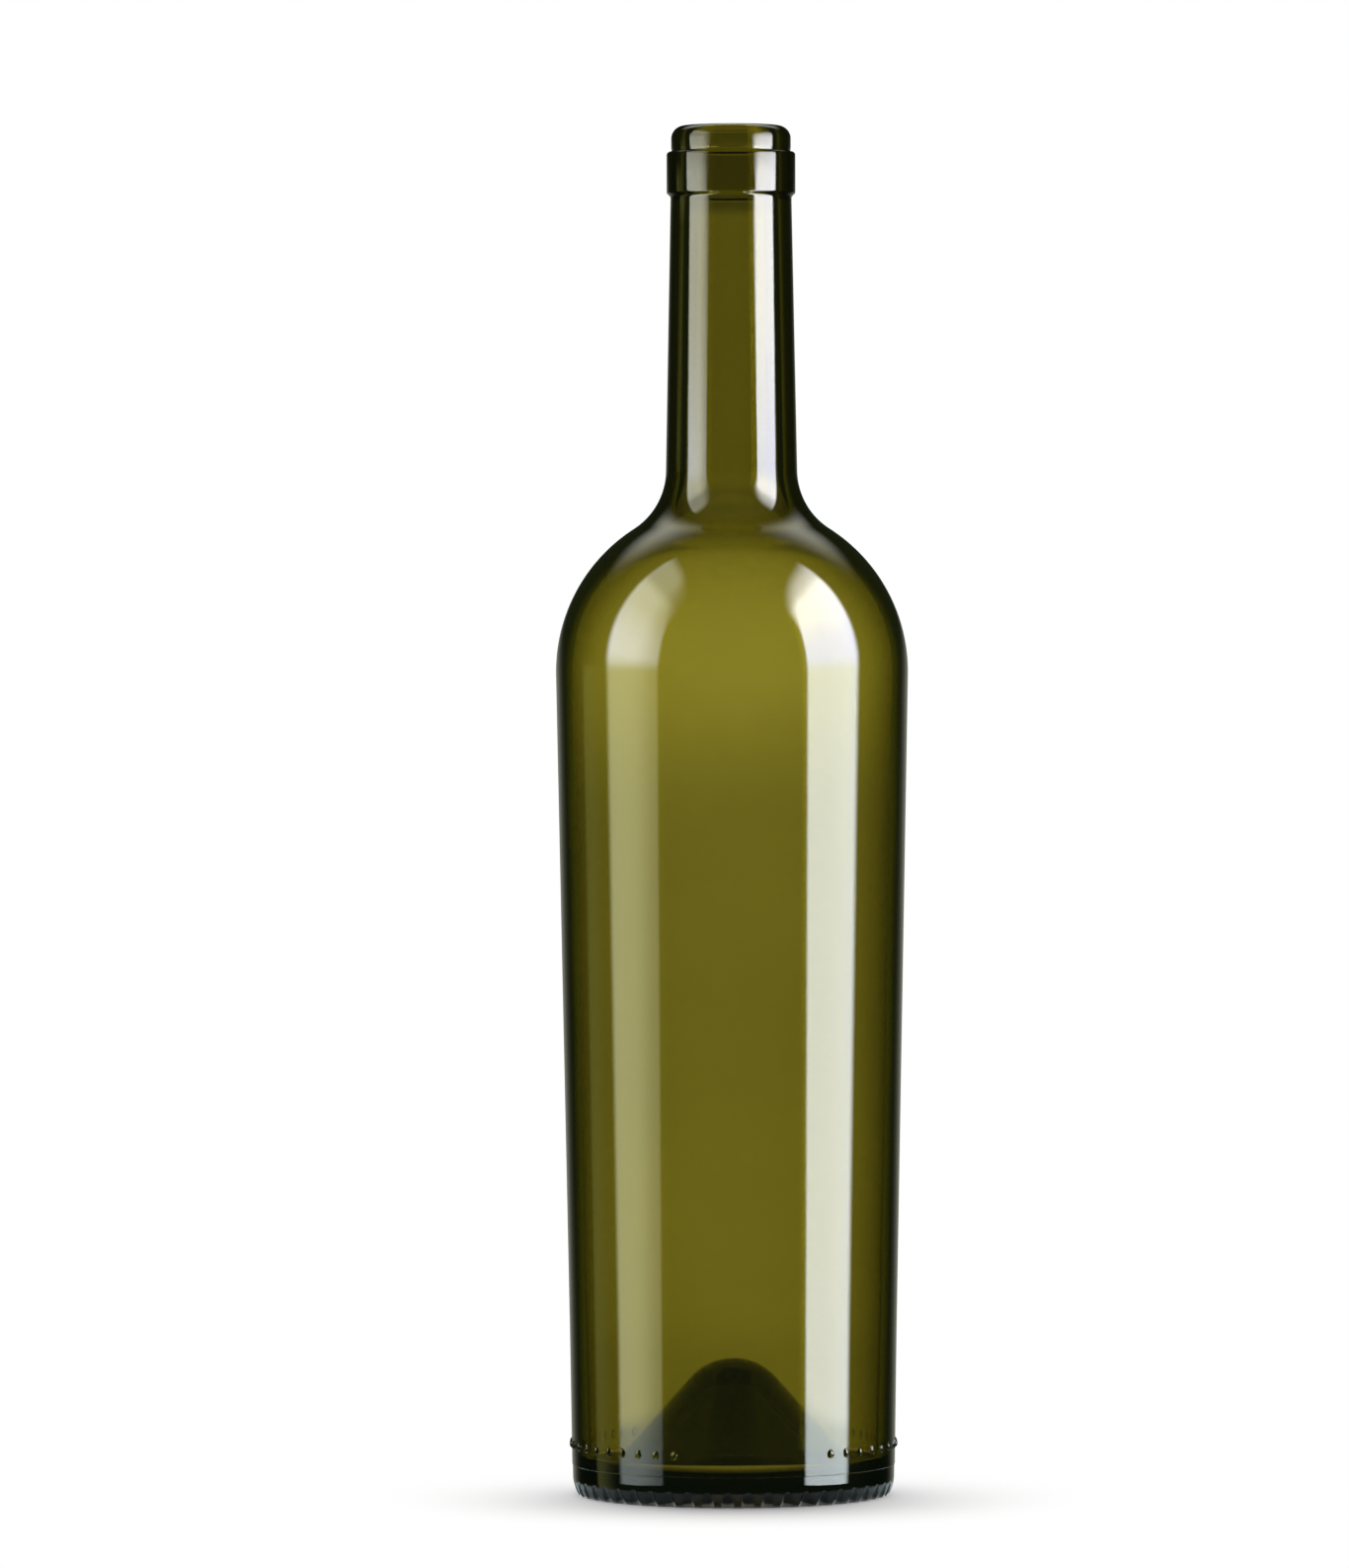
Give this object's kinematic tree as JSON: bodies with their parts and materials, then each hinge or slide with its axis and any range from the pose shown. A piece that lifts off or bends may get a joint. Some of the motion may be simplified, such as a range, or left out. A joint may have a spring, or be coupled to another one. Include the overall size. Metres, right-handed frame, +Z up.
{
  "type": "bordeaux wine bottle",
  "caption": "Empty open bordeaux wine bottle of olive-green glass: tapered body, round high shoulder, slim neck with cork finish, deep punt and knurled standing ring.",
  "frame": {"origin": "on the bottle's axis, in the plane that its bearing ring stands on", "axes": "+Z up along the bottle's axis, from the base to the mouth; -Y faces the picture's viewer"},
  "size_m": [0.081, 0.081, 0.315],
  "materials": {
    "olive_glass": "smooth moulded olive-green glass"
  },
  "bodies": {
    "root": {"glass_bottle": "olive_glass"}
  },
  "joints": []
}
